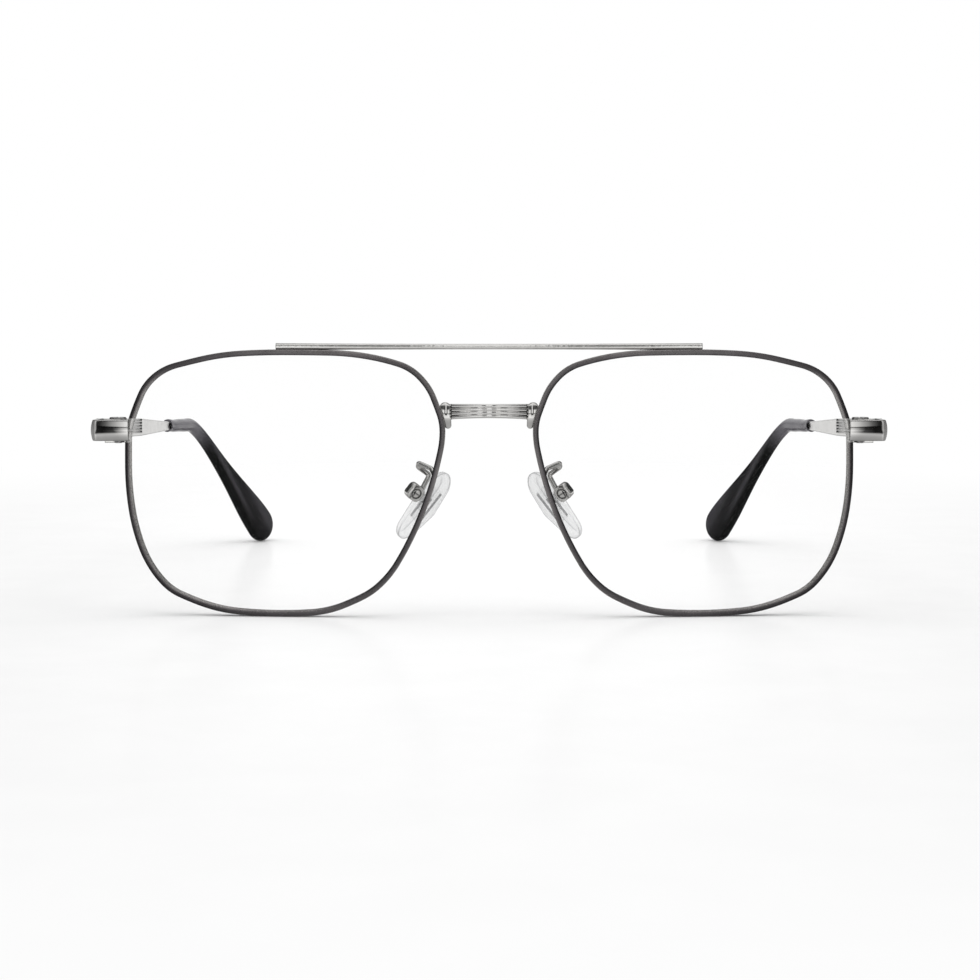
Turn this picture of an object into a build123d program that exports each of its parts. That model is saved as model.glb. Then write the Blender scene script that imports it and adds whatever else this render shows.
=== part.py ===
from build123d import *
import os
from math import cos, hypot, radians, sin, sqrt

# Double bridge glasses with flat-topped full metal rims, millimetres.
# Left and right are the wearer's. +X is the wearer's left, +Y runs back to the ears, +Z is up.
# The glasses stand open on the bottoms of both rims and on both temple tips.

# Lenses, as an optician measures them
lens_width = 55.0
lens_height = 45.4
lens_gap = 16.5
lens_thickness = 1.5
lens_bevel = 0.55
base_curve_radius = 132.0
base_curve_shift = 9.2

# The lens outline of the wearer's left side, clockwise from its top.
# Each point is a share of half the width, a share of half the height and a heading in degrees.
outline_shares = [
    (0.00, 1.00, 0), (0.53, 0.945, -13), (0.83, 0.81, -40), (0.972, 0.50, -71),
    (1.00, 0.12, -90), (0.918, -0.505, -110), (0.785, -0.768, -133), (0.54, -0.926, -161),
    (0.04, -1.00, -180), (-0.37, -0.934, -202), (-0.60, -0.776, -223), (-0.80, -0.413, -244),
    (-0.962, 0.124, -256), (-1.00, 0.40, -270), (-0.942, 0.66, -292), (-0.85, 0.822, -316),
    (-0.59, 0.955, -348),
]

# Rims
rim_wall = 1.0
rim_depth = 2.0
rim_round = 0.22
groove_bite = 0.35
groove_clearance = 0.03
rim_slit = 0.25

# Brow bar, a straight tapered wire soldered on top of both rims
brow_past_centre = 1.25
brow_end_diameter = 1.2
brow_mid_diameter = 0.95
brow_bow = 1.0
brow_seat = 0.12
brow_stations = 9

# Lower bridge, four half-round ridges on a flat back, bowed forward
bridge_drop = 9.45
bridge_mid_height = 2.35
bridge_end_height = 2.7
bridge_bow = 1.5
bridge_back_depth = 0.75
bridge_set_forward = 0.45
ridge_count = 4
ridge_radius = 0.34

# Bridge lugs, a leaf on each rim with a column of beads beside it
lug_top_radius = 0.95
lug_bottom_radius = 0.58
lug_height = 4.6
lug_lift = 0.3
lug_lean = 0.05
lug_sink = 0.12
lug_depth = 1.9
lug_round = 0.25
bead_count = 5
bead_radius = 0.28
collar_width = 0.42
collar_depth = 1.3

# Endpieces, wrapped round the outer corner
endpiece_rise = 9.15
endpiece_reach = 6.2
endpiece_height = 3.7
endpiece_length = 6.4
endpiece_wall = 1.2
endpiece_proud = 0.9
endpiece_overlap = 0.55
endpiece_corner = 1.4
endpiece_crown_radius = 5.2
endpiece_edge = 0.25

# Closing blocks behind the endpieces
block_length = 2.5
block_depth = 2.6
block_height = 1.65
block_round = 0.3
block_gap = 0.06
rim_screw_diameter = 1.2
rim_screw_head_diameter = 1.9
rim_screw_head_height = 0.4
rim_screw_head_round = 0.13
screw_clearance = 0.03
slot_width = 0.35
slot_depth = 0.18

# Hinges, three barrels on a vertical screw
hinge_inset = 3.9
knuckle_diameter = 3.2
barrel_height = 1.36
barrel_gap = 0.06
barrel_drop = 0.3
web_sink = 0.4
leaf_reach = 5.0
leaf_clearance = 0.12
hinge_screw_diameter = 1.3
hinge_clearance = 0.03
hinge_head_diameter = 3.0
hinge_head_height = 0.28
hinge_head_round = 0.2
hinge_tail = 0.12
butt_gap = 0.12

# Temples, a fluted blade that narrows to a core wire
blade_thickness = 1.3
blade_length = 65.5
blade_mouth_height = 1.75
blade_end_height = 1.35
blade_waist_height = 3.35
blade_edge = 0.15
flute_count = 6
flute_radius = 0.19
flute_start = 4.0
flute_length = 31.0
flute_share_of_height = 0.85
temple_drop_angle = 2.4
temple_inward_angle = 1.6
temple_to_bend = 99.5
tip_bend_radius = 16.5
tip_back = 18.7
tip_inward = 12.4
core_diameter = 1.3
core_clearance = 0.03
core_short_of_end = 9.0

# Temple tips, an oval sleeve that swells to a paddle
sleeve_mouth_width = 2.4
sleeve_mouth_height = 2.55
sleeve_mouth_wall = 0.2
sleeve_mouth_depth = 1.6
sleeve_bend_width = 2.5
sleeve_bend_height = 3.0
sleeve_bend_share = 0.5
sleeve_swell_power = 1.5
sleeve_stations = 13
paddle_width = 4.4
paddle_height = 7.8
paddle_cap = 4.3

# Nose pads
pad_out = 11.5
pad_back = 9.5
pad_up = 18.85
pad_tilt_angle = 37.7
pad_splay_angle = 30.0
pad_upper_radius = 2.8
pad_middle_radius = 3.3
pad_lower_radius = 2.4
pad_length = 14.1
pad_thickness = 2.1
pad_crown_radius = 36.0
pad_edge = 0.6

# Pad inserts, boxes, screws and arms
insert_length = 6.9
insert_width = 3.6
insert_corner = 0.5
insert_up_pad = 0.35
insert_thickness = 0.5
insert_depth = 0.9
insert_clearance = 0.02
tab_width = 1.5
tab_thickness = 0.6
box_from_pad = 3.8
box_up_pad = 1.15
box_forward = 0.75
box_side = 2.9
box_depth = 1.6
box_corner = 0.9
box_edge = 0.25
box_slot = 0.8
box_slot_width = 2.2
box_recess_diameter = 2.0
box_recess_depth = 0.2
pad_screw_diameter = 0.9
pad_screw_head_diameter = 1.46
pad_screw_head_height = 0.25
pad_screw_head_round = 0.1
pad_slot_width = 0.25
pad_slot_depth = 0.15
pad_screw_clearance = 0.05
arm_diameter = 0.9
arm_root_rise = 3.2
arm_root_sink = 0.2
arm_foot_aside = 0.8
arm_bend_radius = 0.62

# Bends of the pad arm, in wire diameters from its root on the rim and its foot on the box
arm_hip_shares = (0.75, 1.9, 1.25)
arm_turn_shares = (3.2, 3.6, 2.2)
arm_return_shares = (3.35, 4.85, 1.35)
arm_knee_shares = (-1.4, 0.65, 2.65)

# One overrun lets every cut run past its surface
overrun = 2.0

# Cylinders that stand on their base
on_base = (Align.CENTER, Align.CENTER, Align.MIN)

# Places that the pieces share
half_width = lens_width / 2
half_height = lens_height / 2
rim_grow = rim_wall - groove_bite
centre_x = lens_gap / 2 + half_width
centre_z = half_height + rim_grow
curve_x = centre_x - base_curve_shift
rim_top = centre_z + half_height + rim_grow


def curve_y(x, z):
    """Depth of the base curve, measured back from its front-most point."""
    return base_curve_radius - sqrt(base_curve_radius**2 - (x - curve_x)**2 - (z - centre_z)**2)


def arc_joint(start, heading, end, end_heading):
    """Point where two arcs meet that leave start and reach end at their headings."""
    leave = Vector(cos(radians(heading)), 0, sin(radians(heading)))
    arrive = Vector(cos(radians(end_heading)), 0, sin(radians(end_heading)))
    chord = end - start
    both = leave + arrive
    bend = 2 * (1 - leave.dot(arrive))
    along = chord.dot(both)
    reach = (sqrt(along**2 + bend * chord.dot(chord)) - along) / bend
    return (start + end + (leave - arrive) * reach) * 0.5, leave


def outline(grow):
    """Flat face of the lens outline, moved outward by grow."""
    points = []
    for across, up, heading in outline_shares:
        turn = radians(heading)
        x = centre_x + across * half_width - sin(turn) * grow
        z = centre_z + up * half_height + cos(turn) * grow
        points.append((Vector(x, 0, z), heading))
    edges = []
    for place, (start, heading) in enumerate(points):
        end, end_heading = points[(place + 1) % len(points)]
        if place == len(points) - 1:
            end_heading = end_heading - 360
        middle, leave = arc_joint(start, heading, end, end_heading)
        first = TangentArc(start, middle, tangent=leave)
        second = TangentArc(middle, end, tangent=first % 1)
        edges += [first, second]
    return Face(Wire(edges))


def outline_block(grow):
    """The outline as a thick block that reaches through the whole front."""
    return extrude(outline(grow), amount=lens_width / 2, dir=(0, 1, 0), both=True)


def curve_shell(front, thickness):
    """Spherical shell whose front lies that far behind the base curve."""
    centre = Pos(curve_x, base_curve_radius, centre_z)
    outer = Sphere(base_curve_radius - front)
    inner = Sphere(base_curve_radius - front - thickness)
    return centre * (outer - inner)


def wall_x(height, grow):
    """Nasal and temporal X of the outline at a height."""
    level = Line((0, 0, height), (centre_x + lens_width, 0, height)) & outline(grow)
    box = level.bounding_box()
    return box.min.X, box.max.X


def ball_ended(start, end, radius):
    """Round bar with ball ends."""
    run = end - start
    bar = Plane(start, z_dir=run) * Cylinder(radius, run.length, align=on_base)
    return bar + Pos(*start) * Sphere(radius) + Pos(*end) * Sphere(radius)


def span_box(low, high):
    """Box between two corners."""
    size = high - low
    return Pos(*((low + high) * 0.5)) * Box(size.X, size.Y, size.Z)


def slot_cut(width, length, depth):
    """Screwdriver slot in the top of a head, open upward."""
    return Box(width, length, depth * 2)


# Rims and lenses
def make_lens_form(grow):
    """Bevelled lens on the base curve, grown on every side."""
    set_back = (rim_depth - lens_thickness) / 2 - grow
    blank = outline_block(grow) & curve_shell(set_back, lens_thickness + grow * 2)
    return chamfer(blank.edges(), lens_bevel)


slit_z = centre_z + endpiece_rise
rim_nasal_x, rim_temporal_x = wall_x(slit_z, rim_grow)
rim_blank = outline_block(rim_grow) & curve_shell(0, rim_depth)
lens_form = make_lens_form(0)


def make_rim():
    """Grooved wire round the lens, split behind the endpiece."""
    inside = outline_block(-groove_bite)
    ring = rim_blank - inside
    ring = fillet(ring.edges(), rim_round)
    ring = ring - make_lens_form(groove_clearance)
    low = Vector(rim_temporal_x - rim_wall * 2, 0, slit_z - rim_slit / 2)
    high = Vector(rim_temporal_x + overrun, lens_width / 2, slit_z + rim_slit / 2)
    return ring - span_box(low, high)


rim = make_rim()


# Brow bar
def make_brow_bar():
    """Slim wire over the nose, thinner in the middle and bowed a little forward."""
    reach = centre_x + brow_past_centre
    seat_y = curve_y(centre_x - brow_past_centre, rim_top) + rim_depth / 2
    height = rim_top + brow_end_diameter / 2 - brow_seat
    path = ThreePointArc((-reach, seat_y, height), (0, seat_y - brow_bow, height), (reach, seat_y, height))
    sections = []
    for station in range(brow_stations):
        share = station / (brow_stations - 1)
        swell = (2 * share - 1)**2
        diameter = brow_mid_diameter + (brow_end_diameter - brow_mid_diameter) * swell
        sections.append(Plane(path @ share, z_dir=path % share) * Circle(diameter / 2))
    bar = loft(sections)
    return bar - rim_blank - mirror(rim_blank, about=Plane.YZ)


# Bridge lugs and lower bridge
bridge_top = rim_top - bridge_drop
lug_z_top = bridge_top + lug_lift - lug_top_radius
lug_z_bottom = bridge_top + lug_lift - lug_height + lug_bottom_radius
lug_x_top = wall_x(lug_z_top, rim_grow)[0] - lug_top_radius + lug_sink
lug_x_bottom = wall_x(lug_z_bottom, rim_grow)[0] - lug_bottom_radius + lug_lean
lug_y = curve_y(lug_x_top, bridge_top)
collar_x = lug_x_top - lug_top_radius
bridge_y = lug_y + bridge_set_forward
bridge_end_x = collar_x - collar_width / 2


def make_bridge_lug():
    """Leaf on the nasal wall of the rim, with a beaded collar."""
    top = Pos(lug_x_top, lug_z_top) * Circle(lug_top_radius)
    bottom = Pos(lug_x_bottom, lug_z_bottom) * Circle(lug_bottom_radius)
    leaf = make_hull((top + bottom).edges())
    body = extrude(Plane.XZ * leaf, amount=-lug_depth)
    body = fillet(body.edges().group_by(Axis.Y)[0], lug_round)
    body = Pos(0, lug_y, 0) * body
    middle_z = bridge_top - bridge_end_height / 2
    low = Vector(collar_x - collar_width / 2, bridge_y - ridge_radius / 2, middle_z - bridge_end_height / 2)
    high = Vector(lug_x_top, bridge_y + collar_depth - ridge_radius / 2, middle_z + bridge_end_height / 2)
    body = body + span_box(low, high)
    pitch = bridge_end_height / bead_count
    for bead in range(bead_count):
        height = low.Z + pitch * (bead + 0.5)
        body = body + Pos(collar_x, low.Y, height) * Sphere(bead_radius, rotation=(0, 0, 90))
    return body - rim_blank


bridge_lug = make_bridge_lug()


def make_bridge_bar():
    """Four ridges on a bowed flat back, between the two collars."""
    end = bridge_end_x + collar_width / 2
    front = ThreePointArc((-end, bridge_y, 0), (0, bridge_y - bridge_bow, 0), (end, bridge_y, 0))
    back_y = bridge_y + bridge_back_depth
    rear = ThreePointArc((end, back_y, 0), (0, back_y - bridge_bow, 0), (-end, back_y, 0))
    sides = [Line((end, bridge_y, 0), (end, back_y, 0)), Line((-end, back_y, 0), (-end, bridge_y, 0))]
    plan = Face(Wire([front, sides[0], rear, sides[1]]))
    body = extrude(plan, amount=rim_top, dir=(0, 0, 1))
    end_z = bridge_top - bridge_end_height
    mid_z = bridge_top - bridge_mid_height
    top_line = Line((end, 0, bridge_top), (-end, 0, bridge_top))
    left_line = Line((-end, 0, bridge_top), (-end, 0, end_z))
    bottom_arc = ThreePointArc((-end, 0, end_z), (0, 0, mid_z), (end, 0, end_z))
    right_line = Line((end, 0, end_z), (end, 0, bridge_top))
    face = Face(Wire([top_line, left_line, bottom_arc, right_line]))
    body = body & extrude(face, amount=lens_gap, dir=(0, 1, 0), both=True)
    for ridge in range(ridge_count):
        share = (ridge + 0.5) / ridge_count
        ridge_end_z = bridge_top - bridge_end_height * share
        ridge_mid_z = bridge_top - bridge_mid_height * share
        middle = (0, bridge_y - bridge_bow, ridge_mid_z)
        path = ThreePointArc((-end, bridge_y, ridge_end_z), middle, (end, bridge_y, ridge_end_z))
        body = body + sweep(Plane(path @ 0, z_dir=path % 0) * Circle(ridge_radius), path)
    low = Vector(-bridge_end_x, bridge_y - lens_gap, 0)
    high = Vector(bridge_end_x, bridge_y + lens_gap, rim_top)
    return (body & span_box(low, high)) - bridge_lug - mirror(bridge_lug, about=Plane.YZ)


# Endpieces
outer_x = rim_temporal_x + endpiece_reach
endpiece_y = curve_y(rim_temporal_x, slit_z) - endpiece_proud
hinge_y = endpiece_y + endpiece_length
hinge_x = outer_x - hinge_inset


def make_endpiece():
    """Crowned strip that runs across the front, round the corner and back along the side."""
    strip = Rectangle(endpiece_wall, endpiece_height)
    crown = Circle(endpiece_crown_radius)
    strip = strip & Pos(endpiece_wall / 2 - endpiece_crown_radius, 0) * crown
    strip = fillet(strip.vertices().group_by(Axis.X)[-1], endpiece_edge)
    path = FilletPolyline(
        (rim_temporal_x - endpiece_overlap, endpiece_y + endpiece_wall / 2, slit_z),
        (outer_x - endpiece_wall / 2, endpiece_y + endpiece_wall / 2, slit_z),
        (outer_x - endpiece_wall / 2, hinge_y - butt_gap / 2, slit_z),
        radius=endpiece_corner - endpiece_wall / 2)
    body = sweep(Plane(path @ 0, x_dir=(0, -1, 0), z_dir=path % 0) * strip, path)
    return body - rim_blank


endpiece = make_endpiece()

# Closing blocks
block_y = endpiece_y + endpiece_wall
screw_x = rim_temporal_x + block_length / 2 + rim_wall / 4
screw_y = block_y + block_depth / 2


def make_closing_block(up):
    """One half of the closing block, above or below the slit."""
    gap = 0 if up > 0 else block_gap
    low = Vector(rim_temporal_x - rim_wall / 2, block_y + gap, 0)
    high = Vector(rim_temporal_x + block_length, block_y + block_depth, block_height)
    body = span_box(low, high)
    body = fillet(body.edges().filter_by(Axis.Z).sort_by(Axis.X)[-2:], block_round)
    hole = Cylinder(rim_screw_diameter / 2 + screw_clearance, (block_height + overrun) * 2)
    body = body - Pos(screw_x, screw_y, 0) * hole
    if up < 0:
        body = mirror(body, about=Plane.XY)
    body = Pos(0, 0, slit_z + up * rim_slit / 2) * body
    return body - rim_blank


def make_rim_screw():
    """Slotted screw through both halves of the closing block, its head below."""
    under = slit_z - rim_slit / 2 - block_height
    over = slit_z + rim_slit / 2 + block_height
    shank = Pos(0, 0, under) * Cylinder(rim_screw_diameter / 2, over - under, align=on_base)
    head = Cylinder(rim_screw_head_diameter / 2, rim_screw_head_height, align=on_base)
    head = fillet(head.edges().sort_by(Axis.Z)[0], rim_screw_head_round)
    head = head - slot_cut(slot_width, rim_screw_head_diameter + overrun, slot_depth)
    head = Pos(0, 0, under - rim_screw_head_height) * head
    return Pos(screw_x, screw_y, 0) * (shank + head)


# Hinges
stack_height = barrel_height * 3 + barrel_gap * 2
stack_low = slit_z - barrel_drop - stack_height / 2
knuckle_radius = knuckle_diameter / 2
leaf_inner_x = hinge_x + knuckle_radius + leaf_clearance


def make_barrel(level):
    """Knuckle of the hinge, counted from the lowest."""
    low = stack_low + level * (barrel_height + barrel_gap)
    barrel = Cylinder(knuckle_radius, barrel_height, align=on_base)
    return Pos(hinge_x, hinge_y, low) * barrel, low


def cut_bore(body):
    """Bore for the hinge screw."""
    bore = Cylinder(hinge_screw_diameter / 2 + hinge_clearance, stack_height * 2)
    return body - Pos(hinge_x, hinge_y, slit_z) * bore


def make_front_leaf():
    """Two outer knuckles on a plate inside the endpiece's side wall."""
    wall_inner_x = outer_x - endpiece_wall
    back_y = hinge_y - butt_gap / 2
    plate_low = Vector(leaf_inner_x, hinge_y - leaf_reach, slit_z - endpiece_height / 2 + endpiece_edge)
    plate_high = Vector(wall_inner_x, back_y, slit_z + endpiece_height / 2 - endpiece_edge)
    body = span_box(plate_low, plate_high)
    for level in (0, 2):
        barrel, low = make_barrel(level)
        web_low = Vector(hinge_x, hinge_y - knuckle_radius, low)
        web_high = Vector(leaf_inner_x + web_sink, back_y, low + barrel_height)
        body = body + barrel + span_box(web_low, web_high)
    return cut_bore(body)


def make_temple_leaf(blade):
    """Middle knuckle on a plate soldered to the inner face of the blade."""
    face_x = outer_x - blade_thickness
    front_y = hinge_y + butt_gap / 2
    plate_low = Vector(leaf_inner_x, front_y, slit_z - endpiece_height / 2 + endpiece_edge)
    plate_top = slit_z + endpiece_height / 2 - endpiece_edge
    plate_high = Vector(face_x + blade_thickness / 4, hinge_y + leaf_reach, plate_top)
    body = span_box(plate_low, plate_high)
    barrel, low = make_barrel(1)
    web_low = Vector(hinge_x, front_y, low)
    web_high = Vector(leaf_inner_x + web_sink, hinge_y + knuckle_radius, low + barrel_height)
    body = body + barrel + span_box(web_low, web_high) - blade
    return cut_bore(body)


def make_hinge_screw():
    """Hinge pin with a slotted round head on top."""
    shank = Cylinder(hinge_screw_diameter / 2, stack_height + hinge_tail, align=on_base)
    shank = Pos(0, 0, -hinge_tail) * shank
    head = Cylinder(hinge_head_diameter / 2, hinge_head_height, align=on_base)
    head = fillet(head.edges().sort_by(Axis.Z)[-1], hinge_head_round)
    slot = Pos(0, 0, hinge_head_height) * slot_cut(slot_width, hinge_head_diameter + overrun, slot_depth)
    head = Pos(0, 0, stack_height) * (head - slot)
    return Pos(hinge_x, hinge_y, stack_low) * (shank + head)


# Temple path, from the hinge along the blade, round the bend and down to the paddle
blade_x = outer_x - blade_thickness / 2
blade_start = Vector(blade_x, hinge_y + butt_gap / 2, slit_z)
drop = radians(temple_drop_angle)
inward = radians(temple_inward_angle)
blade_way = Vector(-sin(inward) * cos(drop), cos(inward) * cos(drop), -sin(drop))
bend_point = blade_start + blade_way * temple_to_bend


def cross_frame(point, way):
    """Plane across the path, its X level and its Y upright."""
    level = way.cross(Vector(0, 0, 1)).normalized()
    return Plane(point, x_dir=level, z_dir=way)


def paddle_rest_height():
    """Height of the paddle's centre at which its round end just touches the ground."""
    height = paddle_height / 2
    for _ in range(12):
        way = (Vector(0, tip_back, height) - Vector(tip_inward, 0, bend_point.Z)).normalized()
        upright = cross_frame(Vector(0, 0, 0), way).y_dir
        height = hypot(paddle_cap * way.Z, paddle_height / 2 * upright.Z)
    return height


paddle_centre = Vector(bend_point.X - tip_inward, bend_point.Y + tip_back, paddle_rest_height())
tip_way = (paddle_centre - bend_point).normalized()
half_turn = radians(blade_way.get_angle(tip_way)) / 2
bend_tangent = tip_bend_radius * sin(half_turn) / cos(half_turn)
bend_start = bend_point - blade_way * bend_tangent
bend_end = bend_point + tip_way * bend_tangent
mouth_point = blade_start + blade_way * blade_length
core_end = paddle_centre - tip_way * core_short_of_end


def core_wire(radius, start):
    """Round wire along the path, from start to its end in the paddle."""
    first = Line(start, bend_start)
    turn = TangentArc(bend_start, bend_end, tangent=blade_way)
    last = Line(bend_end, core_end)
    path = Wire([first, turn, last])
    return sweep(cross_frame(start, blade_way) * Circle(radius), path)


def make_temple_bar():
    """Fluted blade that narrows into the core wire."""
    half_t = blade_thickness / 2
    side = Plane(blade_start, x_dir=blade_way, z_dir=blade_way.cross(Vector(0, 0, 1)).normalized())
    flute_end = flute_start + flute_length
    mouth_end = blade_length + sleeve_mouth_depth
    outline_points = [
        (-overrun, endpiece_height / 2), (flute_end, blade_waist_height / 2),
        (blade_length, blade_mouth_height / 2), (mouth_end, blade_end_height / 2)]
    lower_points = [(x, -y) for x, y in reversed(outline_points)]
    profile = Polyline(*outline_points, *lower_points, close=True)
    blade = extrude(side * Face(Wire(profile.edges())), amount=half_t, both=True)
    long_edges = [e for e in blade.edges() if e.length > flute_length / 2]
    blade = fillet(long_edges, blade_edge)
    trim_low = Vector(blade_start.X - overrun * 2, blade_start.Y - overrun * 2, 0)
    trim_high = Vector(blade_start.X + overrun * 2, blade_start.Y, slit_z + endpiece_height)
    blade = blade - span_box(trim_low, trim_high)
    pitch = blade_waist_height * flute_share_of_height / (flute_count - 1)
    for face in (-1, 1):
        for flute in range(flute_count):
            up = (flute - (flute_count - 1) / 2) * pitch
            low = side.from_local_coords(Vector(flute_start, up, half_t * face))
            high = side.from_local_coords(Vector(flute_end, up, half_t * face))
            blade = blade - ball_ended(low, high, flute_radius)
    core_start = mouth_point - blade_way * overrun
    return blade + core_wire(core_diameter / 2, core_start)


def ease(share):
    """Smooth rise from 0 to 1."""
    return share * share * (3 - 2 * share)


def sleeve_size(share, mouth, bend, paddle):
    """Size of the sleeve across, at a share of its path from mouth to paddle."""
    if share < sleeve_bend_share:
        return mouth + (bend - mouth) * ease(share / sleeve_bend_share)
    past = (share - sleeve_bend_share) / (1 - sleeve_bend_share)
    return bend + (paddle - bend) * ease(past**sleeve_swell_power)


def make_temple_tip():
    """Sleeve over the core wire, oval and swelling to the paddle, with a round end."""
    turn = TangentArc(bend_start, bend_end, tangent=blade_way)
    path = Wire([Line(mouth_point, bend_start), turn, Line(bend_end, paddle_centre)])
    sections = []
    for station in range(sleeve_stations):
        share = station / (sleeve_stations - 1)
        width = sleeve_size(share, sleeve_mouth_width, sleeve_bend_width, paddle_width)
        height = sleeve_size(share, sleeve_mouth_height, sleeve_bend_height, paddle_height)
        sections.append(cross_frame(path @ share, path % share) * Ellipse(width / 2, height / 2))
    sleeve = loft(sections)
    stretch = (paddle_width / paddle_height, 1, paddle_cap * 2 / paddle_height)
    ball = scale(Sphere(paddle_height / 2), by=stretch)
    cap = ball & Pos(0, 0, paddle_height / 2) * Box(paddle_height * 2, paddle_height * 2, paddle_height)
    sleeve = sleeve + cross_frame(paddle_centre, tip_way) * cap
    mouth = Cylinder(sleeve_mouth_width / 2 - sleeve_mouth_wall, sleeve_mouth_depth * 2)
    sleeve = sleeve - cross_frame(mouth_point, blade_way) * mouth
    return sleeve - core_wire(core_diameter / 2 + core_clearance, mouth_point - blade_way * overrun)


# Nose pads. In the pad's own plane X runs up the pad, Y across it and Z out of its bearing face.
tilt = radians(pad_tilt_angle)
splay = radians(pad_splay_angle)
pad_long = Vector(-sin(tilt), 0, cos(tilt))
pad_normal = Vector(-cos(tilt) * cos(splay), sin(splay), -sin(tilt) * cos(splay))
pad_plane = Plane((pad_out, pad_back, pad_up), x_dir=pad_long, z_dir=pad_normal)
box_centre = pad_plane.from_local_coords(Vector(box_up_pad, -box_forward, -box_from_pad))
box_plane = Plane(box_centre, x_dir=pad_long, z_dir=pad_normal)


def make_pad_insert():
    """Plate moulded in the pad, with a holed tab that reaches into the box."""
    plate = Pos(insert_up_pad, 0) * RectangleRounded(insert_length, insert_width, insert_corner)
    plate_low = -pad_thickness / 2 + insert_depth
    body = Pos(0, 0, plate_low) * extrude(plate, amount=insert_thickness)
    tab_top = plate_low + insert_thickness / 2
    tab_length = tab_top + box_from_pad
    tab = Pos(box_up_pad, -box_forward, tab_top - tab_length / 2) * Box(tab_width, tab_thickness, tab_length)
    eye = Cylinder(tab_width / 2, tab_thickness, rotation=(90, 0, 0))
    body = body + tab + Pos(box_up_pad, -box_forward, -box_from_pad) * eye
    hole = Cylinder(pad_screw_diameter / 2 + pad_screw_clearance, box_depth, rotation=(90, 0, 0))
    body = body - Pos(box_up_pad, -box_forward, -box_from_pad) * hole
    return pad_plane * body


pad_insert = make_pad_insert()


def make_nose_pad():
    """Clear oval pad, crowned on its bearing face, moulded round the insert."""
    upper_x = pad_length / 2 - pad_upper_radius
    lower_x = pad_lower_radius - pad_length / 2
    upper = Pos(upper_x, 0) * Circle(pad_upper_radius)
    lower = Pos(lower_x, 0) * Circle(pad_lower_radius)
    egg = make_hull((upper + Circle(pad_middle_radius) + lower).edges())
    body = extrude(egg, amount=pad_thickness / 2, both=True)
    crown = Pos(0, 0, pad_thickness / 2 - pad_crown_radius) * Sphere(pad_crown_radius)
    body = body & crown
    body = fillet(body.edges(), pad_edge)
    pocket = offset(pad_plane.to_local_coords(pad_insert), amount=insert_clearance)
    return pad_plane * (body - pocket)


def make_pad_box():
    """Cup that holds the tab, open towards the pad, with a recess for the screw's head."""
    body = Box(box_side, box_depth, box_side)
    body = fillet(body.edges().filter_by(Axis.Y), box_corner)
    body = fillet(body.edges().group_by(Axis.Y)[0], box_edge)
    slot_floor = tab_width / 2 + pad_screw_clearance * 2
    slot_reach = box_side / 2 + overrun
    slot = Box(box_slot_width, box_slot, slot_reach + slot_floor)
    body = body - Pos(0, 0, (slot_reach - slot_floor) / 2) * slot
    hole = Cylinder(pad_screw_diameter / 2 + screw_clearance, box_depth * 2, rotation=(90, 0, 0))
    recess = Cylinder(box_recess_diameter / 2, box_recess_depth * 2, rotation=(90, 0, 0))
    body = body - hole - Pos(0, -box_depth / 2, 0) * recess
    return box_plane * body


def make_pad_screw():
    """Cross screw of the pad, its slotted head to the front."""
    head_y = -box_depth / 2 + box_recess_depth
    shank = Cylinder(pad_screw_diameter / 2, box_depth - box_recess_depth, align=on_base)
    head = Cylinder(pad_screw_head_diameter / 2, pad_screw_head_height, align=on_base)
    head = fillet(head.edges().sort_by(Axis.Z)[-1], pad_screw_head_round)
    slot = slot_cut(pad_slot_width, pad_screw_head_diameter + overrun, pad_slot_depth)
    slot = Pos(0, 0, pad_screw_head_height) * slot
    front = Plane((0, head_y, 0), x_dir=(1, 0, 0), z_dir=(0, -1, 0))
    back = Plane((0, head_y, 0), x_dir=(1, 0, 0), z_dir=(0, 1, 0))
    return box_plane * (front * (head - slot) + back * shank)


pad_box = make_pad_box()


def shifted(point, shares):
    """Point moved by shares of the arm's diameter, outward, back and up."""
    return point + Vector(*shares) * arm_diameter


def make_pad_arm():
    """Bent wire from the back of the rim, round a tight turn, down to the box."""
    root_z = box_centre.Z + arm_root_rise
    root_x = wall_x(root_z, rim_grow)[0] + rim_wall / 2
    root = Vector(root_x, curve_y(root_x, root_z) + rim_depth - arm_root_sink, root_z)
    foot = box_plane.from_local_coords(Vector(box_side / 2 - arm_root_sink, 0, arm_foot_aside))
    hip = shifted(root, arm_hip_shares)
    turn = shifted(root, arm_turn_shares)
    back = shifted(root, arm_return_shares)
    knee = shifted(foot, arm_knee_shares)
    path = FilletPolyline(root, hip, turn, back, knee, foot, radius=arm_bend_radius)
    wire = sweep(Plane(path @ 0, z_dir=path % 0) * Circle(arm_diameter / 2), path)
    return wire - rim_blank - pad_box


# Assembly
temple_bar = make_temple_bar()
one_side = {
    "rim": rim,
    "lens": lens_form,
    "bridge_lug": bridge_lug,
    "endpiece": endpiece,
    "closing_block_upper": make_closing_block(1),
    "closing_block_lower": make_closing_block(-1),
    "rim_screw": make_rim_screw(),
    "hinge_front_leaf": make_front_leaf(),
    "hinge_temple_leaf": make_temple_leaf(temple_bar),
    "hinge_screw": make_hinge_screw(),
    "temple_bar": temple_bar,
    "temple_tip": make_temple_tip(),
    "pad_arm": make_pad_arm(),
    "pad_box": pad_box,
    "pad_screw": make_pad_screw(),
    "pad_insert": pad_insert,
    "nose_pad": make_nose_pad(),
}
pieces = {"brow_bar": make_brow_bar(), "bridge_bar": make_bridge_bar()}
for name, solid in one_side.items():
    pieces[name + "_left"] = solid
    pieces[name + "_right"] = mirror(solid, about=Plane.YZ)

# The origin is on the ground, midway between the front-most and the rear-most point.
boxes = [solid.bounding_box() for solid in pieces.values()]
front_most = min(box.min.Y for box in boxes)
rear_most = max(box.max.Y for box in boxes)
middle_y = (front_most + rear_most) / 2
to_origin = Pos(0, -middle_y, 0)

os.makedirs("parts", exist_ok=True)
for name, solid in pieces.items():
    export_step(to_origin * solid, "parts/" + name + ".step")

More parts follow.
